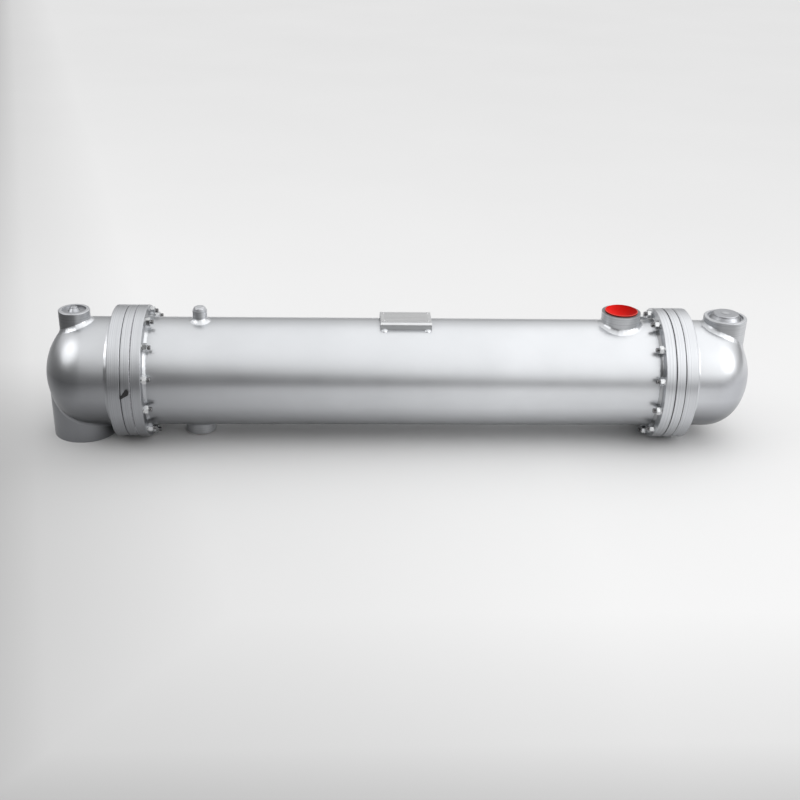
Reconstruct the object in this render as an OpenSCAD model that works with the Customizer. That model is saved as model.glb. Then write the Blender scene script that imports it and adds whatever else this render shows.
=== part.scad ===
// Shell and tube heat exchanger: a straight pipe shell with a bolted flange joint
// and a dished bonnet at each end, lying on its flange rims and its bottom nozzle.

/* [Shell] */
// Outer diameter of the shell and of both bonnets
shell_od = 273; // [260:1:280]
// Wall thickness of the shell and the bonnets
shell_wall = 8; // [6:0.5:9]
// Distance between the inner faces of the two shell flanges
shell_span = 1279; // [1240:1:1500]

/* [Flange joints] */
// Width of the flange rims outside the shell
flange_rim = 30; // [28.5:0.5:36]
// Thickness of each shell flange
shell_flange_t = 25; // [20:0.5:32]
// Thickness of each tubesheet
tubesheet_t = 21.5; // [18:0.5:30]
// Thickness of each bonnet flange
bonnet_flange_t = 31; // [24:0.5:36]
// Thickness of each gasket
gasket_t = 1.75; // [1:0.25:3]
// How far the gaskets stay inside the flange rims
gasket_inset = 2; // [1:0.5:4]
// Number of bolts in each joint, none on the vertical centre line
bolt_count = 12; // [8:4:16]
// Distance from the flange rim to the bolt centres
bolt_edge = 14.5; // [13:0.5:16]
// Diameter of the bolt holes
bolt_hole_d = 13.5; // [11:0.5:14]
// Diameter of the tapped stud holes in the bonnet flanges
stud_d = 12; // [8:1:13]
// Depth of the tapped stud holes
stud_depth = 21; // [14:1:22]
// Bevel on the edges of the flange rims
rim_bevel = 1.5; // [0.5:0.25:2.5]

/* [Tubes] */
// Outer diameter of the heat exchange tubes
tube_od = 19; // [16:1:22]
// Wall thickness of the tubes
tube_wall = 2; // [1.5:0.25:2.5]
// Distance between neighbouring tube centres
tube_pitch = 25; // [24:0.5:32]
// Gap between the outermost tubes and the inside of the shell
tube_edge_gap = 3; // [2:0.5:10]

/* [Bonnets] */
// Distance from the axis to the knuckle centres of the dished ends
knuckle_out = 39; // [36:3:45]

/* [Bonnet connections] */
// Distance from the bonnet flanges to the axes of the top bosses
boss_offset = 98; // [90:1:104]
// Outer diameter of the left boss
left_boss_od = 77; // [70:1:90]
// Height of the left boss above the top of the bonnet
left_boss_rise = 28; // [20:1:40]
// Outer diameter of the right boss
right_boss_od = 108; // [100:1:112]
// Height of the right boss above the top of the bonnet
right_boss_rise = 20; // [16:1:36]
// How far the right boss stays inside the tip of its bonnet
right_boss_inset = 18.5; // [14.5:0.5:48.5]
// Wall thickness of the bosses around their plugs
boss_wall = 9; // [7:0.5:11]
// Depth of the plug faces below the boss rims
plug_recess = 4; // [2:0.5:6]
// Diameter of the hub on the left plug
left_hub_d = 30; // [24:1:40]
// Height of the left hub above the plug face
left_hub_h = 11; // [6:0.5:14]
// Diameter of the hub on the right plug
right_hub_d = 80; // [50:1:84]
// Height of the right hub above the plug face
right_hub_h = 13.5; // [8:0.5:18]
// Outer diameter of the bottom nozzle under the left bonnet
foot_od = 159; // [150:1:165]
// Wall thickness of the bottom nozzle
foot_wall = 8; // [8:0.5:10]
// Gap between the left bonnet flange and the bottom nozzle
foot_gap = 17; // [8:1:40]
// How far the bottom nozzle stays inside the tip of its bonnet
foot_inset = 1.5; // [1:0.5:6]

/* [Shell connections] */
// Distance from the right shell flange to the axis of the top nozzle
top_nozzle_set = 90.5; // [84.5:0.5:159.5]
// Outer diameter of the top nozzle
top_nozzle_od = 97; // [88:1:104]
// Height of the top nozzle above the top of the shell
top_nozzle_rise = 31; // [20:1:40]
// Distance from the left shell flange to the axis of the bottom nozzle of the shell
low_nozzle_set = 117.5; // [89.5:0.5:179.5]
// Outer diameter of the bottom nozzle of the shell
low_nozzle_od = 77; // [70:1:90]
// Gap between the bottom nozzle of the shell and the floor
low_nozzle_gap = 4; // [2:0.5:8]
// Wall thickness of the shell nozzles
nozzle_wall = 7.5; // [5:0.5:9]
// Height of the top nozzle's plug above the nozzle rim
plug_rise = 4; // [3:0.5:8]
// Largest depth of the bowl in each nozzle plug
bowl_depth = 18; // [6:0.5:20]
// Radius of the rounded lip of each nozzle plug
lip_r = 1.3; // [0.8:0.1:2]
// Distance from the left shell flange to the axis of the vent
vent_set = 129.5; // [99.5:0.5:189.5]
// Outer diameter of the vent coupling
vent_od = 35.5; // [30:0.5:42]
// Height of the vent coupling above the top of the shell
vent_rise = 28; // [16:1:34]
// Diameter of the rounded vent cap
vent_cap_d = 30.5; // [26:0.5:34]
// Height of the vent cap above the coupling
vent_cap_h = 9; // [7:0.5:14]

/* [Nameplate] */
// How far the nameplate sits to the right of the middle of the shell
plate_offset = 3; // [0:1:60]
// Length of the nameplate bracket
plate_l = 128; // [100:1:150]
// Depth of the nameplate bracket from front to back
plate_w = 84; // [60:1:90]
// Height of the nameplate face above the top of the shell
plate_rise = 13; // [9:0.5:20]
// Thickness of the bent bracket sheet
bracket_t = 3; // [2:0.5:4]
// Inner radius of the two bends of the bracket
bend_r = 4; // [1:0.5:6]
// Thickness of the nameplate
plate_t = 1.5; // [1:0.25:2]
// Distance from the ends of the bracket and from its bends to the nameplate
plate_margin = 2; // [1:0.5:6]

/* [Hidden] */
$fn = 96;

shell_r = shell_od / 2;
flange_od = shell_od + 2 * flange_rim;
axis_z = flange_od / 2;
bolt_circle = flange_od - 2 * bolt_edge;
cut = 1;

// Faces of one flange joint, measured from the middle of the shell
shell_face = shell_span / 2 + shell_flange_t;
sheet_inner = shell_face + gasket_t;
sheet_outer = sheet_inner + tubesheet_t;
bonnet_face = sheet_outer + gasket_t;
bonnet_outer = bonnet_face + bonnet_flange_t;

// Dished ends: the crown arc runs into the knuckle arc where their shared radius has a 3 to 4 slope
blend = [0.6, 0.8];
head_knuckle = shell_r - knuckle_out;
crown_r = head_knuckle + knuckle_out / blend[0];
head_depth = crown_r - knuckle_out * blend[1] / blend[0];

// Places of what stands on the bonnets, and the bonnet tips beyond them
boss_x = bonnet_outer + boss_offset;
foot_x = bonnet_outer + foot_gap + foot_od / 2;
left_tip = foot_x + foot_od / 2 + foot_inset;
right_tip = boss_x + right_boss_od / 2 + right_boss_inset;
centre_shift = (left_tip - right_tip) / 2;

// Places of the shell connections, measured from the middle of the shell
top_nozzle_x = shell_span / 2 - top_nozzle_set;
low_nozzle_x = shell_span / 2 - low_nozzle_set;
vent_x = shell_span / 2 - vent_set;

// Tube centres on a triangular grid inside the shell
tube_field_r = shell_r - shell_wall - tube_edge_gap - tube_od / 2;
tube_row_h = tube_pitch * sqrt(3) / 2;
tube_rows = floor(tube_field_r / tube_row_h);
tube_columns = ceil(tube_field_r / tube_pitch);
tube_points = [
    for (row = [-tube_rows:tube_rows], column = [-tube_columns:tube_columns])
    let (y = (column + (row % 2 == 0 ? 0 : 0.5)) * tube_pitch, z = row * tube_row_h)
    if (norm([y, z]) <= tube_field_r) [y, z]
];

// Surface colours
paint = "#b8bbc0";
bare_steel = "#a9acb0";
gasket_black = "#1c1c1e";
plug_red = "#d4160d";
tube_metal = "#b09070";
plate_grey = "#c3c5c7";

// Moves from the middle of the shell axis to the point on the floor below the middle of the part
module placed() {
    translate([centre_shift, 0, axis_z]) children();
}

// Draws its children for the right end, or mirrored for the left end
module at_end(side) {
    mirror([side < 0 ? 1 : 0, 0, 0]) children();
}

// A cylinder along +X that starts at x
module along_x(x, d, length) {
    translate([x, 0, 0]) rotate([0, 90, 0]) cylinder(d = d, h = length);
}

// Half section of a round plate with bevelled rim edges
module plate_section(r, t, bevel) {
    polygon([[0, 0], [r - bevel, 0], [r, bevel], [r, t - bevel], [r - bevel, t], [0, t]]);
}

// A round plate of the flange joint with its bolt holes
module joint_plate(x, t, r, bore_d, bevel, hole_d, hole_depth) {
    difference() {
        translate([x, 0, 0]) rotate([0, 90, 0]) rotate_extrude() plate_section(r, t, bevel);
        if (bore_d > 0)
            along_x(x - cut, bore_d, t + 2 * cut);
        for (i = [0:bolt_count - 1])
            rotate([(i + 0.5) * 360 / bolt_count, 0, 0])
                translate([0, 0, bolt_circle / 2])
                    along_x(x - cut, hole_d, hole_depth + cut);
    }
}

// A round plate with bolt holes right through it
module drilled_plate(x, t, r, bore_d, bevel) {
    joint_plate(x, t, r, bore_d, bevel, bolt_hole_d, t + cut);
}

// Half section of a bonnet measured from its tangent line: straight part, knuckle arc, crown arc
module bonnet_section(tip, inset) {
    crown_centre = [0, head_depth - crown_r];
    knuckle_centre = [knuckle_out, 0];
    straight = tip - head_depth - bonnet_face;
    translate([0, -straight]) square([shell_r - inset, straight]);
    intersection() {
        translate(crown_centre) circle(r = crown_r - inset);
        polygon([[0, 0], knuckle_centre, crown_centre + 2 * crown_r * blend, [0, 2 * crown_r]]);
    }
    intersection() {
        translate(knuckle_centre) circle(r = head_knuckle - inset);
        polygon([
            knuckle_centre,
            knuckle_centre + [2 * head_knuckle, 0],
            knuckle_centre + 2 * head_knuckle * [1, 1],
            knuckle_centre + 2 * head_knuckle * blend
        ]);
    }
}

// Spins a bonnet section around the shell axis, starting from its side
module spin_bonnet(tip) {
    translate([tip - head_depth, 0, 0]) rotate([90, 0, 0]) rotate([0, 90, 0]) rotate_extrude() children();
}

// Solid shape of a bonnet on the right end
module bonnet_solid(tip) {
    spin_bonnet(tip) bonnet_section(tip, 0);
}

// Hollow bonnet with a round hole under its boss
module bonnet_body(tip, hole_d) {
    difference() {
        spin_bonnet(tip) difference() {
            bonnet_section(tip, 0);
            bonnet_section(tip, shell_wall);
        }
        translate([boss_x, 0, 0]) cylinder(d = hole_d, h = shell_r + cut);
    }
}

// Upright boss with a softened rim, seated on the curve of the bonnet
module boss_body(tip, od, rise) {
    edge = boss_wall / 3;
    top = shell_r + rise;
    difference() {
        translate([boss_x, 0, 0]) rotate_extrude() {
            square([od / 2, top - edge]);
            square([od / 2 - edge, top]);
            translate([od / 2 - edge, top - edge]) circle(r = edge);
        }
        bonnet_solid(tip);
        translate([boss_x, 0, 0]) cylinder(d = od - 2 * boss_wall, h = top + cut);
    }
}

// Half section of a plug hub: sloping side, rounded shoulder and a low button in the middle
module hub_section(d, h) {
    top_r = d / 2 - 0.8 * h;
    shoulder = 0.3 * h;
    polygon([[0, 0], [d / 2, 0], [top_r + shoulder, h - shoulder], [0, h - shoulder]]);
    translate([top_r, h - shoulder]) circle(r = shoulder);
    square([top_r, h]);
    square([0.4 * top_r, 1.03 * h]);
}

// Threaded plug set below the boss rim, with a hub to turn it by
module boss_plug(od, rise, hub_d, hub_h) {
    translate([boss_x, 0, shell_r + rise - plug_recess]) rotate_extrude() {
        translate([0, -rise]) square([od / 2 - boss_wall, rise]);
        hub_section(hub_d, hub_h);
    }
}

// Short pipe on the outside of the shell, from the shell wall out to reach
module nozzle_body(x, od, reach) {
    difference() {
        translate([x, 0, 0]) cylinder(d = od, h = reach);
        along_x(x - od, shell_od, 2 * od);
        translate([x, 0, 0]) cylinder(d = od - 2 * nozzle_wall, h = reach + cut);
    }
}

// Half section of a hollow push-in plug with a bowl face and a rounded lip, measured from the nozzle rim
module bowl_section(plug_r, skirt, rise) {
    lip = rise - lip_r;
    skin = 1.8 * lip_r;
    bowl_rim = plug_r - skin;
    deep = min(bowl_depth, 0.6 * skirt);
    bowl_r = (bowl_rim * bowl_rim + deep * deep) / (2 * deep);
    difference() {
        translate([0, -skirt]) square([plug_r, skirt + lip]);
        translate([0, lip + bowl_r - deep]) circle(r = bowl_r);
        translate([0, -skirt - cut]) square([bowl_rim, skirt + cut + lip - deep - skin]);
    }
    translate([plug_r - lip_r, lip]) circle(r = lip_r);
}

// Plastic plug in a nozzle that ends at reach, standing proud of it by rise
module bowl_plug(x, od, reach, rise) {
    translate([x, 0, reach]) rotate_extrude() bowl_section(od / 2 - nozzle_wall, reach - shell_r, rise);
}

module shell() {
    color(paint) placed() difference() {
        along_x(-shell_face, shell_od, 2 * shell_face);
        along_x(-shell_face - cut, shell_od - 2 * shell_wall, 2 * (shell_face + cut));
        translate([top_nozzle_x, 0, 0]) cylinder(d = top_nozzle_od - 2 * nozzle_wall, h = shell_od);
        translate([-low_nozzle_x, 0, -shell_od])
            cylinder(d = low_nozzle_od - 2 * nozzle_wall, h = shell_od);
        translate([-vent_x, 0, 0]) cylinder(d = vent_od / 2, h = shell_od);
    }
}

module tube_bundle() {
    color(tube_metal) placed()
        for (point = tube_points)
            translate([0, point[0], point[1]]) difference() {
                along_x(-sheet_outer, tube_od, 2 * sheet_outer);
                along_x(-sheet_outer - cut, tube_od - 2 * tube_wall, 2 * (sheet_outer + cut));
            }
}

module shell_flange(side) {
    color(paint) placed() at_end(side)
        drilled_plate(shell_span / 2, shell_flange_t, flange_od / 2, shell_od, rim_bevel);
}

module shell_gasket(side) {
    color(gasket_black) placed() at_end(side)
        drilled_plate(shell_face, gasket_t, flange_od / 2 - gasket_inset, shell_od - 2 * shell_wall, 0);
}

module tubesheet(side) {
    color(paint) placed() at_end(side) difference() {
        drilled_plate(sheet_inner, tubesheet_t, flange_od / 2, 0, rim_bevel / 2);
        for (point = tube_points)
            translate([0, point[0], point[1]]) along_x(sheet_inner - cut, tube_od, tubesheet_t + 2 * cut);
    }
}

module bonnet_gasket(side) {
    color(gasket_black) placed() at_end(side)
        drilled_plate(sheet_outer, gasket_t, flange_od / 2 - gasket_inset, shell_od - 2 * shell_wall, 0);
}

module bonnet_flange(side) {
    color(paint) placed() at_end(side)
        joint_plate(bonnet_face, bonnet_flange_t, flange_od / 2, shell_od, rim_bevel, stud_d, stud_depth);
}

module left_bonnet() {
    color(paint) placed() at_end(-1) difference() {
        bonnet_body(left_tip, left_boss_od - 2 * boss_wall);
        translate([foot_x, 0, -shell_od]) cylinder(d = foot_od - 2 * foot_wall, h = shell_od);
    }
}

module right_bonnet() {
    color(paint) placed() at_end(1) bonnet_body(right_tip, right_boss_od - 2 * boss_wall);
}

module left_boss() {
    color(paint) placed() at_end(-1) boss_body(left_tip, left_boss_od, left_boss_rise);
}

module right_boss() {
    color(paint) placed() at_end(1) boss_body(right_tip, right_boss_od, right_boss_rise);
}

module left_boss_plug() {
    color(bare_steel) placed() at_end(-1) boss_plug(left_boss_od, left_boss_rise, left_hub_d, left_hub_h);
}

module right_boss_plug() {
    color(bare_steel) placed() at_end(1)
        boss_plug(right_boss_od, right_boss_rise, right_hub_d, right_hub_h);
}

module left_foot_nozzle() {
    color(paint) placed() at_end(-1) difference() {
        translate([foot_x, 0, -axis_z]) cylinder(d = foot_od, h = axis_z);
        bonnet_solid(left_tip);
        translate([foot_x, 0, -axis_z - cut]) cylinder(d = foot_od - 2 * foot_wall, h = axis_z + 2 * cut);
    }
}

module top_nozzle() {
    color(paint) placed() nozzle_body(top_nozzle_x, top_nozzle_od, shell_r + top_nozzle_rise);
}

module top_nozzle_plug() {
    color(plug_red) placed()
        bowl_plug(top_nozzle_x, top_nozzle_od, shell_r + top_nozzle_rise, plug_rise);
}

// Turns what is drawn on top of the shell to its underside
module underneath() {
    rotate([180, 0, 0]) children();
}

module low_nozzle() {
    color(paint) placed() underneath()
        nozzle_body(-low_nozzle_x, low_nozzle_od, axis_z - low_nozzle_gap);
}

module low_nozzle_plug() {
    color(plug_red) placed() underneath()
        bowl_plug(-low_nozzle_x, low_nozzle_od, axis_z - low_nozzle_gap, 0);
}

module vent_coupling() {
    color(paint) placed() difference() {
        translate([-vent_x, 0, 0]) cylinder(d = vent_od, h = shell_r + vent_rise);
        along_x(-vent_x - vent_od, shell_od, 2 * vent_od);
        translate([-vent_x, 0, 0]) cylinder(d = vent_od / 2, h = shell_od);
    }
}

module vent_plug() {
    edge = 0.7 * vent_cap_h;
    cap_r = vent_cap_d / 2;
    color(bare_steel) placed() translate([-vent_x, 0, shell_r + vent_rise]) {
        rotate_extrude() intersection() {
            union() {
                square([cap_r, vent_cap_h - edge]);
                square([cap_r - edge, vent_cap_h]);
                translate([cap_r - edge, vent_cap_h - edge]) circle(r = edge);
            }
            square([cap_r + cut, vent_cap_h + cut]);
        }
        translate([0, 0, -vent_rise]) cylinder(d = vent_od / 2, h = vent_rise);
    }
}

// Cross section of the bracket's channel, or of the space in it where inset is the sheet's thickness
module channel_section(inset, edge) {
    half = plate_w / 2 - inset;
    top = shell_r + plate_rise - plate_t - inset;
    translate([-half, 0]) square([2 * half, top - edge]);
    translate([edge - half, 0]) square([2 * (half - edge), top]);
    for (side = [-1, 1])
        translate([side * (half - edge), top - edge]) circle(r = edge);
}

module nameplate_bracket() {
    color(paint) placed() translate([plate_offset, 0, 0]) difference() {
        translate([-plate_l / 2, 0, 0]) rotate([90, 0, 90]) linear_extrude(plate_l) difference() {
            channel_section(0, bend_r + bracket_t);
            channel_section(bracket_t, bend_r);
        }
        along_x(-plate_l, shell_od, 2 * plate_l);
    }
}

module nameplate() {
    length = plate_l - 2 * plate_margin;
    depth = plate_w - 2 * (bend_r + bracket_t + plate_margin);
    color(plate_grey) placed()
        translate([plate_offset - length / 2, -depth / 2, shell_r + plate_rise - plate_t])
            cube([length, depth, plate_t]);
}

shell();
tube_bundle();
shell_flange(-1);  // left_shell_flange
shell_gasket(-1);  // left_shell_gasket
tubesheet(-1);  // left_tubesheet
bonnet_gasket(-1);  // left_bonnet_gasket
bonnet_flange(-1);  // left_bonnet_flange
left_bonnet();
left_boss();
left_boss_plug();
left_foot_nozzle();
shell_flange(1);  // right_shell_flange
shell_gasket(1);  // right_shell_gasket
tubesheet(1);  // right_tubesheet
bonnet_gasket(1);  // right_bonnet_gasket
bonnet_flange(1);  // right_bonnet_flange
right_bonnet();
right_boss();
right_boss_plug();
top_nozzle();
top_nozzle_plug();
low_nozzle();
low_nozzle_plug();
vent_coupling();
vent_plug();
nameplate_bracket();
nameplate();
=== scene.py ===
import math
import random

import bpy
from mathutils import Matrix, Vector
from mathutils.bvhtree import BVHTree


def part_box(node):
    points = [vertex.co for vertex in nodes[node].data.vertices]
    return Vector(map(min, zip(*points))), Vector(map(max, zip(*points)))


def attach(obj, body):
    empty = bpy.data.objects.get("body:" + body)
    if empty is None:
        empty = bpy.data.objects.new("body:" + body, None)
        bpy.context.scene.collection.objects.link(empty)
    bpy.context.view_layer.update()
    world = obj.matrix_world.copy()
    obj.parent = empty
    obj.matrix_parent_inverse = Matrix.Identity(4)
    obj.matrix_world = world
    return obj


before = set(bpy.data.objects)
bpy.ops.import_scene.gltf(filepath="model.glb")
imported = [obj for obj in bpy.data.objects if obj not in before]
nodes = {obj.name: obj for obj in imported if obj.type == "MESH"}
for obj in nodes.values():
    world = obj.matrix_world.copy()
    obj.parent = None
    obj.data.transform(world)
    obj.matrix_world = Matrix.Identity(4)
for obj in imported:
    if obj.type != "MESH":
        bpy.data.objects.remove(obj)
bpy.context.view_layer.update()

# Driving places, read from the solids: each joint has its outer face, its inner face and its way inwards
AXIS_Z = sum(v.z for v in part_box("left_bonnet_flange")) / 2
FLANGE_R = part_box("left_bonnet_flange")[1].z - AXIS_Z
SHELL_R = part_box("shell")[1].z - AXIS_Z
JOINTS = {
    "left": (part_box("left_bonnet_flange")[0].x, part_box("left_shell_flange")[1].x, 1),
    "right": (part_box("right_bonnet_flange")[1].x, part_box("right_shell_flange")[0].x, -1),
}
UP, DOWN = Vector((0, 0, 1)), Vector((0, 0, -1))
SOLID_SHARP = math.radians(32)

# Studs, in metres
STUD_COUNT = 12
STUD_EDGE = 0.0145
STUD_R = 0.006
STUD_START = 0.0115
STUD_END = 0.008
STUD_CHAMFER = 0.0014
THREAD_PITCH = 0.00175
THREAD_DEPTH = 0.00095
NUT_ACROSS = 0.019
NUT_H = 0.0108
NUT_BORE_EDGE = 0.0006
WASHER_R = 0.011
WASHER_T = 0.0025
STUD_GRIP = JOINTS["left"][1] - JOINTS["left"][0]
NUT_TOP = STUD_GRIP + WASHER_T + NUT_H
RING_POINTS = 48

# Weld beads, in metres: a stem, its wall, its leg and its way; a flange weld's face leg and pipe leg
STEM_WELDS = {
    "left_boss_weld": ("left_boss", "left_bonnet", 0.0090, UP),
    "right_boss_weld": ("right_boss", "right_bonnet", 0.0085, UP),
    "left_foot_weld": ("left_foot_nozzle", "left_bonnet", 0.0085, DOWN),
    "top_nozzle_weld": ("top_nozzle", "shell", 0.0105, UP),
    "low_nozzle_weld": ("low_nozzle", "shell", 0.0075, DOWN),
    "vent_weld": ("vent_coupling", "shell", 0.0100, UP),
}
SHELL_WELD = (0.0046, 0.0085)
BONNET_WELD = (0.0075, 0.0135)
TACK_L, TACK_INSET, TACK_WALL, TACK_BASE = 0.017, 0.0015, 0.0042, 0.0095
TACK_END = 0.12
RIPPLE, RIPPLE_SHARE, RIPPLE_LEAN = 0.0034, 0.016, 0.45
STEM_UNEVEN, FLANGE_UNEVEN = 0.045, 0.05
HOLLOW, HOLLOW_TOP_NOZZLE, HOLLOW_TACK = 0.7, 0.85, -0.7
BEAD_STEP = 0.0011
BEAD_POINTS = 9
SINK, ROOT_SINK = 0.0004, 0.2
RAY_START, RAY_CLEAR = 0.05, 0.0001

# Rivets of the nameplate, in metres
RIVET_R, RIVET_H, RIVET_INSET = 0.0027, 0.0013, 0.0065
RIVET_SINK, RIVET_FOOT = 0.0008, 0.0001
RIVET_POINTS, RIVET_STEPS = 32, 6

# Handling tab of the left bonnet gasket, in metres: places are along the axis and around the rim
TAB_ANGLE = math.radians(4.6)
TAB_T, TAB_GAP, TAB_LIFT, TAB_ROOT = 0.0022, 0.0002, 0.0012, 0.004
TAB_LOBE, TAB_HALF = Vector((0.0145, 0.0010)), Vector((0.0052, 0.0078))
TAB_FOOT = (-0.017, -0.011)
LOBE_STEPS, ROOT_STEPS = 28, 6

# Camera fitted to the photograph, for an image of 800 by 800 pixels
CAMERA_AT = Vector((-0.1481, -2.6359, 1.3368))
CAMERA_YAW, CAMERA_PITCH, CAMERA_ROLL = 0.0553, 0.4429, 0.0266
FOCAL_PIXELS, IMAGE_PIXELS, SENSOR = 1123.25, 800, 36.0

# Half the floor's side and the edges of its pale part, outside the picture, in metres
FLOOR_SIDE = 30.0
FLOOR_FRONT, FLOOR_LEFT, FLOOR_SLANT = -1.36, -1.13, 0.27

# Lamps: place, aim and size in metres, power in watts
LAMPS = {
    "key_lamp": ((3.2, -1.4, 2.0), (0.2, 0, 0.25), 2.4, 22),
    "side_lamp": ((-3.0, -0.7, 2.2), (-0.85, 0, 0.2), 2.5, 22),
}

chance = random.Random(11)


class Nodes:
    """A node tree, with short calls for the nodes used here."""

    def __init__(self, tree, place):
        self.tree = tree
        self.place = self.node("TexCoord").outputs[place]

    def node(self, kind, **settings):
        made = self.tree.nodes.new("ShaderNode" + kind)
        for key, value in settings.items():
            setattr(made, key, value)
        return made

    def feed(self, socket, value):
        """Links an output or sets a plain value; None leaves the socket as it is."""
        if isinstance(value, bpy.types.NodeSocket):
            self.tree.links.new(value, socket)
        elif value is not None:
            socket.default_value = value

    def math(self, operation, a, b=None, c=None, clamp=False):
        made = self.node("Math", operation=operation, use_clamp=clamp)
        for socket, value in zip(made.inputs, (a, b, c)):
            self.feed(socket, value)
        return made.outputs[0]

    def multiplied(self, vector, factors):
        made = self.node("VectorMath", operation="MULTIPLY")
        self.feed(made.inputs[0], vector)
        self.feed(made.inputs[1], factors)
        return made.outputs["Vector"]

    def distance(self, vector, centre):
        made = self.node("VectorMath", operation="DISTANCE")
        self.feed(made.inputs[0], vector)
        self.feed(made.inputs[1], centre)
        return made.outputs["Value"]

    def axes(self, vector=None):
        made = self.node("SeparateXYZ")
        self.feed(made.inputs[0], vector or self.place)
        return made.outputs

    def facing(self, kind="Normal"):
        """The three parts of the surface's direction."""
        return self.axes(self.node("NewGeometry").outputs[kind])

    def ramp(self, factor, *stops):
        """A colour ramp, where a stop has a colour or a grey level."""
        made = self.node("ValToRGB")
        self.feed(made.inputs[0], factor)
        elements = made.color_ramp.elements
        while len(elements) < len(stops):
            elements.new(0.5)
        for element, (position, colour) in zip(elements, stops):
            element.position = position
            element.color = (*colour, 1.0) if isinstance(colour, tuple) else (colour, colour, colour, 1.0)
        return made.outputs["Color"]

    def span(self, factor, low, high, start=0.25, end=0.75, kind="LINEAR"):
        """Maps a factor between start and end to low and high."""
        made = self.node("MapRange", interpolation_type=kind)
        for socket, value in zip(made.inputs, (factor, start, end, low, high)):
            self.feed(socket, value)
        return made.outputs["Result"]


class Shader(Nodes):
    """The node tree of one material, around its shader."""

    def __init__(self, material, **sockets):
        super().__init__(material.node_tree, "Object")
        self.material = material
        self.shader = self.tree.nodes["Principled BSDF"]
        for key, value in sockets.items():
            self.shader.inputs[key.replace("_", " ")].default_value = value

    @classmethod
    def new(cls, name, **sockets):
        material = bpy.data.materials.new(name)
        material.use_nodes = True
        return cls(material, **sockets)

    def noise(self, scale, detail=2.0, along=None, stretch=None):
        made = self.node("TexNoise")
        made.inputs["Scale"].default_value = scale
        made.inputs["Detail"].default_value = detail
        if along is not None:
            made.noise_dimensions = "1D"
            self.feed(made.inputs["W"], along)
        else:
            place = self.multiplied(self.place, stretch) if stretch else self.place
            self.feed(made.inputs["Vector"], place)
        return made.outputs["Fac"]

    def blend(self, factor, a, b, kind="MIX"):
        made = self.node("Mix", data_type="RGBA", blend_type=kind)
        self.feed(made.inputs["Factor"], factor)
        self.feed(made.inputs[6], a)
        self.feed(made.inputs[7], b)
        return made.outputs[2]

    def tint(self, colour, other):
        return self.blend(1.0, colour, other, "MULTIPLY")

    def bump(self, height, strength, depth, under=None):
        made = self.node("Bump")
        made.inputs["Strength"].default_value = strength
        made.inputs["Distance"].default_value = depth
        self.feed(made.inputs["Height"], height)
        self.feed(made.inputs["Normal"], under)
        return made.outputs["Normal"]

    def colour(self):
        """The output that gives the shader its colour so far."""
        return self.shader.inputs["Base Color"].links[0].from_socket

    def finish(self, colour=None, roughness=None, normal=None):
        self.feed(self.shader.inputs["Base Color"], colour)
        self.feed(self.shader.inputs["Roughness"], roughness)
        self.feed(self.shader.inputs["Normal"], normal)
        return self.material


def scaled(colour, factor):
    return tuple(min(1.0, channel * factor) for channel in colour)


def turning_lines(shader, across, centre):
    """Places along which turned lines follow each other: along the axis on a side, outwards on a face."""
    mask = [0.0 if i == across else 1.0 for i in range(3)]
    middle = [centre[i] * mask[i] for i in range(3)]
    outwards = shader.distance(shader.multiplied(shader.place, mask), middle)
    face = shader.math("GREATER_THAN", shader.math("ABSOLUTE", shader.facing("True Normal")[across]), 0.7)
    pick = shader.node("Mix", data_type="FLOAT")
    shader.feed(pick.inputs["Factor"], face)
    shader.feed(pick.inputs[2], shader.axes()[across])
    shader.feed(pick.inputs[3], outwards)
    return pick.outputs[0]


def painted_side_shade(shader, colour, under):
    """Paints shade into the colour of sides and undersides, most of all towards the left end."""
    up = shader.facing()[2]
    # where painted shade falls: sides and undersides
    low = shader.ramp(shader.math("ADD", up, 0.5, clamp=True), (0.66, 1.0), (0.88, 0.0))
    # painted shade along the axis: greyest at the left end, a little at the right end
    share = shader.math("MULTIPLY_ADD", shader.axes()[0], 0.5, 0.5)
    painted_shade = shader.ramp(share, (0.06, (0.46, 0.46, 0.47)), (0.62, 1.0), (0.84, 0.96),
                       (0.92, (0.74, 0.74, 0.76)))
    start, end, level = under
    # painted shade on undersides, set by under as start, end and level
    painted_underside_shade = shader.ramp(shader.math("MULTIPLY", up, -1.0), (start, 1.0), (end, level))
    return shader.blend(low, colour, shader.tint(colour, shader.tint(painted_shade, painted_underside_shade)))


def silver_paint(name, tone=1.0, across=None, centre=(0, 0, 0), lines=0.0, rough=0.29, painted_shade=True,
                 under=(0.30, 0.80, 0.65)):
    """Aluminium paint: cloudy tone, orange peel, faint waves, and turned lines under it where they show, with
    painted shade on sides and undersides unless turned off.
    """
    base = scaled((0.715, 0.730, 0.752), tone)
    shader = Shader.new(name, Metallic=0.9)
    colour = shader.ramp(shader.noise(6.0, 4.0), (0.3, scaled(base, 0.96)), (0.7, scaled(base, 1.03)))
    # painted shade on sides and undersides
    if painted_shade:
        colour = painted_side_shade(shader, colour, under)
    roughness = shader.span(shader.noise(16.0, 3.0), rough, rough + 0.05)
    normal = shader.bump(shader.noise(8.0, 1.0), 0.08, 0.004)
    normal = shader.bump(shader.noise(60.0, 1.0), 0.015, 0.001, normal)
    if across is not None:
        cuts = shader.noise(420.0, 3.0, along=turning_lines(shader, across, centre))
        normal = shader.bump(cuts, lines, 0.0008, normal)
        colour = shader.tint(colour, shader.ramp(cuts, (0.32, (0.80, 0.80, 0.81)), (0.58, 1.0)))
    return shader.finish(colour, roughness, normal)


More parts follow.
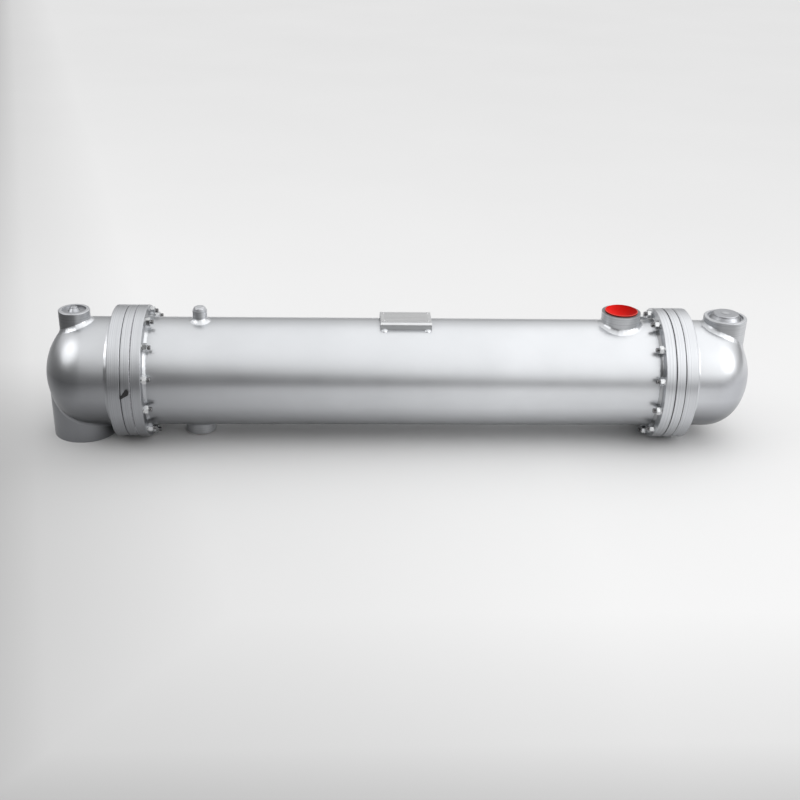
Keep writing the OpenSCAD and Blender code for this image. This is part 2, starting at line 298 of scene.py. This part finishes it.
def stem_paint(name, tone, centre, left_shade, top):
    """Paint of a turned boss or nozzle, with painted shade on the faces that look left, and a tone for its
    end.
    """
    paint = silver_paint(name, tone, across=2, centre=centre, lines=0.30, rough=0.34, painted_shade=False)
    shader = Shader(paint, Metallic=0.6)
    right, _, up = shader.facing()
    # painted shade: faces that look left are greyed to the given level
    shade_and_end_tone = shader.ramp(right, (0.16, left_shade), (0.52, 1.0))
    shade_and_end_tone = shader.blend(shader.math("ABSOLUTE", up), shade_and_end_tone, (top, top, top, 1.0))
    return shader.finish(shader.tint(shader.colour(), shade_and_end_tone))


def plug_paint(name, centre, spot):
    """Paint of a boss plug, turned, with a brighter spot in its middle."""
    paint = silver_paint(name, 0.92, across=2, centre=centre, lines=0.22, rough=0.30, painted_shade=False)
    shader = Shader(paint)
    away = shader.distance(shader.multiplied(shader.place, (1.0, 1.0, 0.0)), centre)
    share = shader.math("DIVIDE", away, 2 * spot)
    pale_middle = shader.ramp(share, (0.42, 1.0), (0.56, (0.78, 0.78, 0.79)))
    return shader.finish(shader.tint(shader.colour(), pale_middle))


def bracket_paint():
    """The paint of the nameplate bracket, with painted shade on its upright sides and its left end, greyer
    there than on top.
    """
    shader = Shader.new("bracket_paint", Metallic=0.9)
    right, _, up = shader.facing()
    # painted shade on upright sides, by how far each face looks up
    colour = shader.ramp(up, (0.12, (0.42, 0.43, 0.44)), (0.40, (0.76, 0.77, 0.78)))
    # painted shade on the left end
    left = shader.math("MULTIPLY", right, -1.0)
    colour = shader.tint(colour, shader.ramp(left, (0.3, 1.0), (0.7, 0.4)))
    colour = shader.tint(colour, shader.ramp(shader.noise(40.0, 4.0), (0.3, 0.94), (0.7, 1.0)))
    return shader.finish(colour, shader.span(shader.noise(16.0, 3.0), 0.29, 0.33),
                         shader.bump(shader.noise(90.0, 1.0), 0.03, 0.001))


def gasket_sheet(name, level):
    """Compressed gasket sheet with a fibrous edge, black or greyed by paint dust."""
    shader = Shader.new(name, Metallic=0.0)
    fibres = shader.noise(260.0, 4.0)
    grey = (level, level, level * 1.06)
    colour = shader.ramp(fibres, (0.35, scaled(grey, 0.5)), (0.7, scaled(grey, 1.5)))
    roughness = shader.span(shader.noise(90.0, 2.0), 0.55, 0.8)
    return shader.finish(colour, roughness, shader.bump(fibres, 0.4, 0.0006))


def painted_bowl_light(shader, colour, middle, radius, lip):
    """Paints shade into a plug's bowl towards the right, a pale highlight onto its lip and a shadow onto the
    outside under the lip.
    """
    # painted shade, deeper towards the right of the bowl
    away = shader.math("DIVIDE", shader.math("SUBTRACT", shader.axes()[0], middle.x), 2 * radius)
    depth = shader.ramp(shader.math("ADD", away, 0.5), (0.15, 1.0), (0.85, (0.62, 0.50, 0.50)))
    colour = shader.tint(colour, depth)
    # painted highlight on the lip
    share = shader.math("DIVIDE", shader.distance(shader.place, middle), radius)
    share = shader.math("SUBTRACT", share, 0.9)
    painted_lip_highlight = shader.math("MULTIPLY", shader.ramp(share, (0.045, 0.0), (0.075, 1.0)), 0.75)
    colour = shader.blend(painted_lip_highlight, colour, (0.86, 0.13, 0.10, 1.0))
    # painted shadow on the outside under the lip
    under = shader.math("LESS_THAN", shader.axes()[2], middle.z - lip)
    outside = shader.math("GREATER_THAN", share, 0.07)
    return shader.blend(shader.math("MULTIPLY", under, outside), colour, (0.16, 0.002, 0.001, 1.0))


def red_plastic(name, top=None):
    """Moulded red plastic with a soft gloss and slight streaks, with painted shade, a painted lip highlight
    and a painted shadow where top gives its place.
    """
    shader = Shader.new(name, Metallic=0.0, Specular_IOR_Level=0.07)
    streaks = shader.noise(30.0, 4.0, stretch=(1.0, 2.5, 1.0))
    colour = shader.ramp(streaks, (0.3, (0.74, 0.006, 0.003)), (0.7, (0.84, 0.009, 0.004)))
    if top is not None:
        colour = painted_bowl_light(shader, colour, *top)
    roughness = shader.span(shader.noise(60.0, 3.0), 0.26, 0.36)
    return shader.finish(colour, roughness, shader.bump(shader.noise(500.0, 2.0), 0.06, 0.0004))


def top_plug_plastic():
    """The red plastic of the top nozzle's plug, measured from the middle of its lip."""
    low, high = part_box("top_nozzle_plug")
    middle = Vector(((low.x + high.x) / 2, (low.y + high.y) / 2, high.z))
    radius, lip = (high.x - low.x) / 2, 0.0013
    return red_plastic("red_plastic_painted_light", (middle, radius, lip))


def zinc_steel():
    """Zinc plated steel of studs and nuts, cloudy and finely scratched, darker on the thread past the nut."""
    shader = Shader.new("zinc_steel", Metallic=1.0)
    colour = shader.ramp(shader.noise(160.0, 4.0), (0.3, (0.58, 0.59, 0.60)), (0.7, (0.76, 0.77, 0.78)))
    past = shader.math("DIVIDE", shader.math("SUBTRACT", shader.axes()[2], NUT_TOP), STUD_END)
    colour = shader.tint(colour, shader.ramp(past, (0.02, 1.0), (0.12, (0.42, 0.41, 0.41))))
    roughness = shader.span(shader.noise(420.0, 3.0), 0.14, 0.26)
    scratches = shader.noise(900.0, 2.0, stretch=(1.0, 1.0, 0.12))
    return shader.finish(colour, roughness, shader.bump(scratches, 0.12, 0.0003))


def tube_steel():
    """Drawn steel tube with lines along its length and a slight brown film."""
    shader = Shader.new("tube_steel", Metallic=0.95)
    film = shader.noise(40.0, 5.0)
    colour = shader.ramp(film, (0.35, (0.36, 0.31, 0.26)), (0.7, (0.52, 0.50, 0.47)))
    drawn = shader.noise(900.0, 2.0, stretch=(0.03, 1.0, 1.0))
    return shader.finish(colour, shader.span(drawn, 0.32, 0.5), shader.bump(drawn, 0.15, 0.0003))


def bare_nameplate():
    """Satin aluminium plate, brushed lengthwise, with empty ruled rows inside a plain border."""
    low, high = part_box("nameplate")
    centre, half = (low + high) / 2, (high - low) / 2
    shader = Shader.new("bare_nameplate", Metallic=0.85)
    brushed = shader.noise(700.0, 3.0, stretch=(0.02, 1.0, 1.0))
    colour = shader.ramp(brushed, (0.3, (0.66, 0.665, 0.67)), (0.7, (0.78, 0.785, 0.79)))
    x, y, _ = shader.axes()
    across = shader.math("DIVIDE", shader.math("SUBTRACT", x, centre.x), half.x)
    deep = shader.math("DIVIDE", shader.math("SUBTRACT", y, centre.y), half.y)
    inside = shader.math("MULTIPLY", shader.math("LESS_THAN", shader.math("ABSOLUTE", across), 0.88),
                         shader.math("LESS_THAN", shader.math("ABSOLUTE", deep), 0.80))
    rows = shader.math("FRACT", shader.math("MULTIPLY", shader.math("ADD", deep, 1.0), 3.5))
    rule = shader.math("MULTIPLY", shader.math("LESS_THAN", rows, 0.09), inside)
    colour = shader.blend(rule, colour, (0.12, 0.125, 0.13, 1.0))
    normal = shader.bump(brushed, 0.1, 0.0002)
    return shader.finish(colour, shader.span(brushed, 0.28, 0.42), shader.bump(rule, 0.3, -0.0003, normal))


def pale_floor():
    """Pale matt floor, hardly cloudy, that darkens in front and on the left where the picture ends, with a
    painted soft shadow in front of the object towards the left.
    """
    shader = Shader.new("pale_floor", Metallic=0.0, Specular_IOR_Level=0.1)
    x, y, _ = shader.axes()
    front = shader.math("SUBTRACT", FLOOR_FRONT, y)
    slant = shader.math("ADD", x, shader.math("MULTIPLY", y, FLOOR_SLANT))
    beyond = shader.math("MAXIMUM", front, shader.math("SUBTRACT", FLOOR_LEFT, slant))
    sheet = shader.ramp(shader.math("MULTIPLY_ADD", beyond, 0.5, 0.3),
                        (0.025, 0.86), (0.21, 0.74), (0.30, 0.54), (0.46, 0.24), (0.75, 0.13))
    # painted shadow: in front of the object the floor is darker towards the left
    along = shader.ramp(shader.math("MULTIPLY", shader.math("ADD", x, 1.1), 0.6), (0.0, 0.74), (0.9, 1.0))
    near = shader.math("SUBTRACT", 0.7, shader.math("MULTIPLY", y, 1.6), clamp=True)
    colour = shader.blend(near, sheet, shader.tint(sheet, along))
    colour = shader.tint(colour, shader.ramp(shader.noise(0.8, 3.0), (0.3, 0.98), (0.7, 1.0)))
    return shader.finish(colour, shader.span(shader.noise(30.0, 2.0), 0.85, 0.95))


class Solid:
    """Points and faces of one mesh, put together from lofted rings."""

    def __init__(self):
        self.points, self.faces = [], []

    def loft(self, rings, closed=False, capped=False):
        first, size = len(self.points), len(rings[0])
        for ring in rings:
            self.points.extend(ring)
        count = len(rings)
        for i in range(count if closed else count - 1):
            a, b = first + i * size, first + (i + 1) % count * size
            for j in range(size):
                k = (j + 1) % size
                self.faces.append((a + j, a + k, b + k, b + j))
        if capped:
            last = first + (count - 1) * size
            self.faces.append(tuple(range(first + size - 1, first - 1, -1)))
            self.faces.append(tuple(range(last, last + size)))

    def mesh(self, name, material, sharp=35):
        made = bpy.data.meshes.new(name)
        made.from_pydata(self.points, [], self.faces)
        made.validate()
        made.materials.append(material)
        made.shade_smooth()
        made.set_sharp_from_angle(angle=math.radians(sharp))
        return made


def place_piece(name, mesh, matrix=None):
    """Adds a piece in the frame, riding on the one body."""
    piece = bpy.data.objects.new(name, mesh)
    bpy.context.scene.collection.objects.link(piece)
    if matrix is not None:
        piece.matrix_world = matrix
    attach(piece, "root")
    return piece


def turns_of(count):
    return [2 * math.pi * i / count for i in range(count)]


def circle(radius, height, count=RING_POINTS):
    return [Vector((radius * math.cos(turn), radius * math.sin(turn), height)) for turn in turns_of(count)]


def hexagon(across, height_at):
    """A six sided ring whose height may follow its distance from the middle."""
    ring = []
    for angle in turns_of(RING_POINTS):
        within = (angle + math.pi / 6) % (math.pi / 3) - math.pi / 6
        reach = across / 2 / math.cos(within)
        ring.append(Vector((reach * math.cos(angle), reach * math.sin(angle), height_at(reach))))
    return ring


def add_washer(solid, low, high):
    bevel = WASHER_T * 0.15
    inner, outer = STUD_R * 1.08, WASHER_R
    solid.loft([
        circle(inner, low), circle(outer - bevel, low), circle(outer, low + bevel),
        circle(outer, high - bevel), circle(outer - bevel, high), circle(inner, high),
    ], closed=True)


def add_nut(solid, low, high):
    """A hexagon nut, chamfered on both faces and at its bore."""
    flat, bore = NUT_ACROSS / 2 * 0.95, STUD_R * 1.02
    slope = math.tan(math.radians(30))
    solid.loft([
        circle(bore, low), circle(flat, low),
        hexagon(NUT_ACROSS, lambda reach: low + (reach - flat) * slope),
        hexagon(NUT_ACROSS, lambda reach: high - (reach - flat) * slope),
        circle(flat, high), circle(bore + NUT_BORE_EDGE, high), circle(bore, high - NUT_BORE_EDGE),
    ], closed=True)


def thread_ring(height, reach):
    """A ring of a screw thread, its depth following the turn."""
    ring = []
    for angle in turns_of(RING_POINTS):
        share = (height / THREAD_PITCH - angle / (2 * math.pi)) % 1.0
        crest = min(1.0, max(0.0, 2.3 * abs(share - 0.5) - 0.1))
        radius = min(reach, STUD_R - THREAD_DEPTH + THREAD_DEPTH * crest)
        ring.append(Vector((radius * math.cos(angle), radius * math.sin(angle), height)))
    return ring


def add_stud(solid, low, thread_from, high):
    """The stud's shank, with a screw thread and a chamfered end."""
    shank, tip, step = STUD_R * 0.98, STUD_R * 0.45, THREAD_PITCH / 8
    rings = [circle(shank, low), circle(shank, thread_from)]
    count = int((high - thread_from) / step)
    for i in range(1, count + 1):
        height = thread_from + (high - thread_from) * i / count
        rings.append(thread_ring(height, STUD_R - max(0.0, height - high + STUD_CHAMFER)))
    rings.append(circle(tip, high))
    solid.loft(rings, capped=True)


def stud_mesh(material):
    """A stud with its washer and nut, its axis on Z and the outer flange face at zero."""
    solid = Solid()
    add_washer(solid, STUD_GRIP, NUT_TOP - NUT_H)
    add_nut(solid, NUT_TOP - NUT_H, NUT_TOP)
    add_stud(solid, STUD_START, NUT_TOP - NUT_H * 0.3, NUT_TOP + STUD_END)
    return solid.mesh("flange_stud", material, 28)


def add_studs(material):
    """Twelve studs in each flange joint, screwed into the bonnet flange, nuts towards the shell."""
    mesh = stud_mesh(material)
    circle_r = FLANGE_R - STUD_EDGE
    for side, (outer, _, way) in JOINTS.items():
        facing = Matrix.Rotation(math.pi / 2 * way, 4, "Y")
        for i in range(STUD_COUNT):
            angle = 2 * math.pi * (i + 0.5) / STUD_COUNT
            at = Vector((outer, circle_r * math.sin(angle), AXIS_Z + circle_r * math.cos(angle)))
            turn = Matrix.Rotation(chance.uniform(0, math.pi / 3), 4, "Z")
            place_piece(f"{side}_stud_{i + 1:02d}", mesh, Matrix.Translation(at) @ facing @ turn)


def uneven(count, amount):
    """A factor for each point of a closed bead that wanders slowly around one."""
    waves = [(turns, chance.uniform(0, 2 * math.pi)) for turns in (3, 7, 13, 29)]
    return [
        1 + amount * sum(math.sin(turns * angle + phase) for turns, phase in waves) / 2
        for angle in turns_of(count)
    ]


def bead_ring(root, wall, base, along, hollow):
    """One section of a weld between the ends of two legs, hollow or full, with faint crescent ripples."""
    out = (wall + base).normalized()
    leg = (wall.length + base.length) / 2
    ring = [root - ROOT_SINK * (wall + base)]
    for i in range(BEAD_POINTS):
        share = i / (BEAD_POINTS - 1)
        arch = math.sin(math.pi * share)
        turn = math.pi / 2 * share
        straight = root + wall * (1 - share) + base * share
        arc = root + wall * (1 - math.sin(turn)) + base * (1 - math.cos(turn))
        ripple = leg * arch * RIPPLE_SHARE * abs(math.sin(math.pi * (along / RIPPLE + RIPPLE_LEAN * arch)))
        ring.append(straight + (arc - straight) * hollow + out * (ripple - SINK * (1 - arch)))
    return ring


def add_bead(name, sections, material, closed=True, hollow=HOLLOW):
    """A weld bead swept along its sections, each a root with its two legs."""
    solid, rings, along = Solid(), [], 0.0
    for i, (root, wall, base) in enumerate(sections):
        if i:
            along += (root - sections[i - 1][0]).length
        rings.append(bead_ring(root, wall, base, along, hollow))
    solid.loft(rings, closed=closed, capped=not closed)
    return place_piece(name, solid.mesh(name, material, 60))


def smoothed(vectors, reach):
    """Directions around a closed ring, each the mean of its neighbours."""
    count = len(vectors)
    made = []
    for i in range(count):
        total = sum((vectors[(i + j) % count] for j in range(-reach, reach + 1)), Vector())
        made.append(total.normalized())
    return made


def stem_bead(name, stem, base_node, leg, away, material, hollow):
    """A weld bead where a round stem stands on a curved wall, found on the solids."""
    low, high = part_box(stem)
    middle = (low + high) / 2
    radius = (high.x - low.x) / 2
    tree = BVHTree.FromObject(nodes[base_node], bpy.context.evaluated_depsgraph_get())
    start_z = high.z + RAY_START if away.z > 0 else low.z - RAY_START
    count = int(2 * math.pi * radius / BEAD_STEP)
    roots, normals, outs = [], [], []
    for angle in turns_of(count):
        out = Vector((math.cos(angle), math.sin(angle), 0))
        start = Vector((middle.x, middle.y, start_z)) + out * (radius + RAY_CLEAR)
        hit, normal, _, _ = tree.ray_cast(start, -away)
        roots.append(hit)
        normals.append(normal if normal.dot(away) > 0 else -normal)
        outs.append(out)
    normals = smoothed(normals, 4)
    sections = []
    for root, normal, out, factor in zip(roots, normals, outs, uneven(count, STEM_UNEVEN)):
        base = (out - out.dot(normal) * normal).normalized()
        sections.append((root, away * leg * factor, base * leg * factor))
    return add_bead(name, sections, material, hollow=hollow)


def flange_bead(name, x, way, legs, material):
    """A ring weld between a flange face and the pipe that runs through it."""
    face_leg, pipe_leg = legs
    count = int(2 * math.pi * SHELL_R / BEAD_STEP)
    along = Vector((way, 0, 0))
    sections = []
    for angle, factor in zip(turns_of(count), uneven(count, FLANGE_UNEVEN)):
        out = Vector((0, math.sin(angle), math.cos(angle)))
        root = Vector((x, 0, AXIS_Z)) + out * SHELL_R
        sections.append((root, out * face_leg * factor, along * pipe_leg * factor))
    return add_bead(name, sections, material)


def bracket_tacks(material):
    """Four short welds that hold the corners of the nameplate bracket to the shell."""
    low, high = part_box("nameplate_bracket")
    count = int(TACK_L / BEAD_STEP) * 2
    for row, (y, out_y) in enumerate(((low.y, -1), (high.y, 1))):
        height = math.sqrt(SHELL_R ** 2 - y ** 2)
        slope = Vector((0, out_y * height, -abs(y))).normalized()
        for end, start in enumerate((low.x + TACK_INSET, high.x - TACK_L - TACK_INSET)):
            sections = []
            for i in range(count + 1):
                share = i / count
                size = TACK_END + (1 - TACK_END) * math.sin(math.pi * share) ** 0.6
                root = Vector((start + TACK_L * share, y, AXIS_Z + height))
                sections.append((root, UP * TACK_WALL * size, slope * TACK_BASE * size))
            name = f"bracket_tack_{2 * row + end + 1}"
            add_bead(name, sections, material, closed=False, hollow=HOLLOW_TACK)


def add_welds():
    """All the welds, in a paint made brighter as painted light, but for the shell weld on the right, whose
    paint is darkened as painted shade from its nuts.
    """
    bright = silver_paint("weld_paint", 1.05)
    shaded = silver_paint("shaded_weld_paint", 0.60)
    for name, (stem, wall, leg, away) in STEM_WELDS.items():
        hollow = HOLLOW_TOP_NOZZLE if stem == "top_nozzle" else HOLLOW
        stem_bead(name, stem, wall, leg, away, bright, hollow)
    for side, (outer, inner, way) in JOINTS.items():
        flange_bead(f"{side}_shell_weld", inner, way, SHELL_WELD, bright if side == "left" else shaded)
        flange_bead(f"{side}_bonnet_weld", outer, -way, BONNET_WELD, bright)
    bracket_tacks(bright)


def nameplate_rivets(material):
    """Domed rivets in the corners of the nameplate."""
    low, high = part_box("nameplate")
    rings = [circle(RIVET_R, -RIVET_SINK, RIVET_POINTS), circle(RIVET_R, RIVET_FOOT, RIVET_POINTS)]
    for i in range(1, RIVET_STEPS):
        angle = math.pi / 2 * i / RIVET_STEPS
        rings.append(circle(RIVET_R * math.cos(angle), RIVET_H * math.sin(angle), RIVET_POINTS))
    solid = Solid()
    solid.loft(rings, capped=True)
    mesh = solid.mesh("nameplate_rivet", material, 50)
    rows = (low.y + RIVET_INSET, high.y - RIVET_INSET)
    columns = (low.x + RIVET_INSET, high.x - RIVET_INSET)
    for i, (x, y) in enumerate([(x, y) for y in rows for x in columns]):
        place_piece(f"nameplate_rivet_{i + 1}", mesh, Matrix.Translation((x, y, high.z)))


def tab_outline(foot):
    """The tab laid flat: a round lobe, with straight edges that run from it to both ends of the foot."""
    ends = []
    for point, way in zip(foot, (1, -1)):
        reach = Vector(((point.x - TAB_LOBE.x) / TAB_HALF.x, (point.y - TAB_LOBE.y) / TAB_HALF.y))
        ends.append(math.atan2(reach.y, reach.x) + way * math.acos(1 / reach.length))
    first, last = ends[0] % (2 * math.pi) - 2 * math.pi, ends[1] % (2 * math.pi)
    turns = [first + (last - first) * i / LOBE_STEPS for i in range(LOBE_STEPS + 1)]
    rounded = [TAB_LOBE + Vector((TAB_HALF.x * math.cos(t), TAB_HALF.y * math.sin(t))) for t in turns]
    return [foot[0]] + rounded + [foot[1]]


def tab_ring(outline, start_x, height, inset):
    """The outline bent around the rim at a height above it, drawn in by an inset."""
    centre = sum(outline, Vector((0, 0))) / len(outline)
    ring = []
    for point in outline:
        at = point + (centre - point).normalized() * inset
        angle = TAB_ANGLE + at.y / FLANGE_R
        radius = FLANGE_R + TAB_GAP + height + TAB_LIFT * max(0.0, at.x / TAB_LOBE.x) ** 2
        ring.append(Vector((start_x + at.x, -radius * math.cos(angle), AXIS_Z + radius * math.sin(angle))))
    return ring


def tab_root(low, high):
    """Sections of the strip that joins the tab to its gasket, between the flange and the tubesheet."""
    inner, outer = high.z - AXIS_Z - TAB_ROOT, FLANGE_R + TAB_T
    left, right = low.x + TAB_GAP, high.x - TAB_GAP
    start, end = TAB_FOOT
    rows = []
    for i in range(ROOT_STEPS + 1):
        angle = TAB_ANGLE + (start + (end - start) * i / ROOT_STEPS) / FLANGE_R
        out = Vector((0, -math.cos(angle), math.sin(angle)))
        corners = ((left, inner), (right, inner), (right, outer), (left, outer))
        rows.append([Vector((x, 0, AXIS_Z)) + out * radius for x, radius in corners])
    return rows


def gasket_tab(material):
    """Handling tab of the left bonnet gasket, which leans over the tubesheet rim and ends in a round lobe."""
    low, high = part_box("left_bonnet_gasket")
    outline = tab_outline([Vector((low.x - high.x + TAB_GAP, y)) for y in TAB_FOOT])
    edge = TAB_T * 0.3
    levels = ((0, edge), (edge, 0), (TAB_T - edge, 0), (TAB_T, edge))
    solid = Solid()
    solid.loft([tab_ring(outline, high.x, height, inset) for height, inset in levels], capped=True)
    solid.loft(tab_root(low, high), capped=True)
    return place_piece("gasket_tab", solid.mesh("gasket_tab", material, 40))


def boss_or_nozzle_paint(name, middle):
    """The paint of one stem, with painted shade on its left side and a tone for its end, as bright as the
    photograph has them.
    """
    tone = 0.95 if name.endswith("plug") else 0.90
    # levels of painted shade on each stem's left side
    left_shade = {"left_boss": 0.38, "vent_coupling": 0.55, "top_nozzle": 0.95}.get(name, 0.70)
    top = 0.40 if name == "top_nozzle" else 1.0
    return stem_paint(name + "_paint", tone, (middle.x, middle.y, 0), left_shade, top)


def join_tip(node):
    """Joins the doubled point at a dome's tip and evens its shading."""
    node.modifiers.new("joined_tip", "WELD").merge_threshold = 1e-6
    even = node.modifiers.new("even_shading", "WEIGHTED_NORMAL")
    even.mode, even.keep_sharp = "FACE_AREA_WITH_ANGLE", True


def dress_nodes(gasket):
    """Gives every solid its material, by what it is."""
    plain = silver_paint("silver_paint")
    rim = silver_paint("turned_paint", across=0, centre=(0, 0, AXIS_Z), lines=0.30, rough=0.30)
    red = red_plastic("red_plastic")
    dusty = gasket_sheet("dusty_gasket", 0.06)
    special = {
        "tube_bundle": tube_steel(),
        "nameplate": bare_nameplate(),
        "nameplate_bracket": bracket_paint(),
        # Painted shade: the bonnets' undersides are darkened more, and the left bonnet and the foot are toned
        # down.
        "left_bonnet": silver_paint("left_bonnet_paint", 0.90, rough=0.33, under=(0.15, 0.60, 0.50)),
        "right_bonnet": silver_paint("right_bonnet_paint", under=(0.15, 0.60, 0.42)),
        "left_foot_nozzle": silver_paint("foot_paint", 0.80, rough=0.33),
        "top_nozzle_plug": top_plug_plastic(),
        "left_bonnet_gasket": gasket,
        "left_shell_gasket": gasket_sheet("painted_gasket", 0.42),
    }
    for name, node in nodes.items():
        low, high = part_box(name)
        middle = (low + high) / 2
        if name in special:
            material = special[name]
        elif "gasket" in name:
            material = dusty
        elif name.endswith("nozzle_plug"):
            material = red
        elif "flange" in name or "tubesheet" in name:
            material = rim
        elif name.endswith("boss_plug"):
            spot = 0.1 * (high.x - low.x)
            material = plug_paint(name + "_paint", (middle.x, middle.y, 0), spot)
        elif "boss" in name or "vent" in name or name in ("top_nozzle", "low_nozzle"):
            material = boss_or_nozzle_paint(name, middle)
        else:
            material = plain
        node.data.materials.clear()
        node.data.materials.append(material)
        node.data.shade_smooth()
        node.data.set_sharp_from_angle(angle=SOLID_SHARP)
        if name.endswith("bonnet"):
            join_tip(node)


def add_floor(material):
    solid = Solid()
    corners = ((-1, -1), (1, -1), (1, 1), (-1, 1))
    solid.points = [Vector((FLOOR_SIDE * x, FLOOR_SIDE * y, 0)) for x, y in corners]
    solid.faces = [(0, 1, 2, 3)]
    floor = bpy.data.objects.new("floor", solid.mesh("floor", material))
    bpy.context.scene.collection.objects.link(floor)


def studio_world():
    """A pale studio dome: bright above, dim at the horizon in front, a little brighter to the right."""
    world = bpy.data.worlds.new("studio")
    world.use_nodes = True
    sky = Nodes(world.node_tree, "Generated")
    x, y, z = sky.axes()
    behind = sky.math("MULTIPLY", sky.math("MAXIMUM", y, 0.0), 0.12)
    front = sky.math("MULTIPLY_ADD", y, -1.5, 0.6, clamp=True)
    aside = sky.span(x, -0.32, 0.19, -0.26, 0.19, "SMOOTHSTEP")
    height = sky.math("ADD", sky.math("ABSOLUTE", z), behind)
    height = sky.math("ADD", height, sky.math("MULTIPLY", aside, front))
    level = sky.ramp(height, (0.0, 0.07), (0.16, 0.16), (0.32, 0.72), (0.46, 0.98), (0.62, 1.06), (1.0, 1.10))
    side = sky.ramp(sky.math("MULTIPLY_ADD", x, 0.5, 0.5),
                    (0.25, 0.75), (0.43, 0.84), (0.50, 1.03), (0.60, 1.24), (0.80, 1.28), (0.95, 0.80))
    back = sky.ramp(y, (0.52, 1.0), (0.70, 0.86), (0.86, 0.60))
    background = sky.tree.nodes["Background"]
    sky.feed(background.inputs["Color"], level)
    sky.feed(background.inputs["Strength"], sky.math("MULTIPLY", side, back))
    bpy.context.scene.world = world


def add_lamp(name, at, aim, size, power):
    lamp = bpy.data.lights.new(name, "AREA")
    lamp.shape = "DISK"
    lamp.size, lamp.energy = size, power
    holder = bpy.data.objects.new(name, lamp)
    bpy.context.scene.collection.objects.link(holder)
    holder.location = at
    holder.rotation_euler = (Vector(aim) - Vector(at)).to_track_quat("-Z", "Y").to_euler()


def add_camera():
    """Camera at the place and angle fitted to the photograph."""
    camera = bpy.data.cameras.new("camera")
    camera.sensor_width = SENSOR
    camera.lens = FOCAL_PIXELS * SENSOR / IMAGE_PIXELS
    holder = bpy.data.objects.new("camera", camera)
    bpy.context.scene.collection.objects.link(holder)
    forward = Vector((
        math.sin(CAMERA_YAW) * math.cos(CAMERA_PITCH),
        math.cos(CAMERA_YAW) * math.cos(CAMERA_PITCH),
        -math.sin(CAMERA_PITCH),
    ))
    level = Vector((math.cos(CAMERA_YAW), -math.sin(CAMERA_YAW), 0))
    upright = level.cross(forward)
    right = math.cos(CAMERA_ROLL) * level + math.sin(CAMERA_ROLL) * upright
    up = math.cos(CAMERA_ROLL) * upright - math.sin(CAMERA_ROLL) * level
    turn = Matrix((right, up, -forward)).transposed().to_4x4()
    holder.matrix_world = Matrix.Translation(CAMERA_AT) @ turn
    bpy.context.scene.camera = holder


def main():
    gasket = gasket_sheet("gasket_sheet", 0.02)
    zinc = zinc_steel()
    dress_nodes(gasket)
    add_camera()
    add_studs(zinc)
    add_welds()
    nameplate_rivets(zinc)
    gasket_tab(gasket)
    add_floor(pale_floor())
    studio_world()
    for name, (at, aim, size, power) in LAMPS.items():
        add_lamp(name, at, aim, size, power)
    bpy.context.scene.view_settings.view_transform = "Standard"


main()
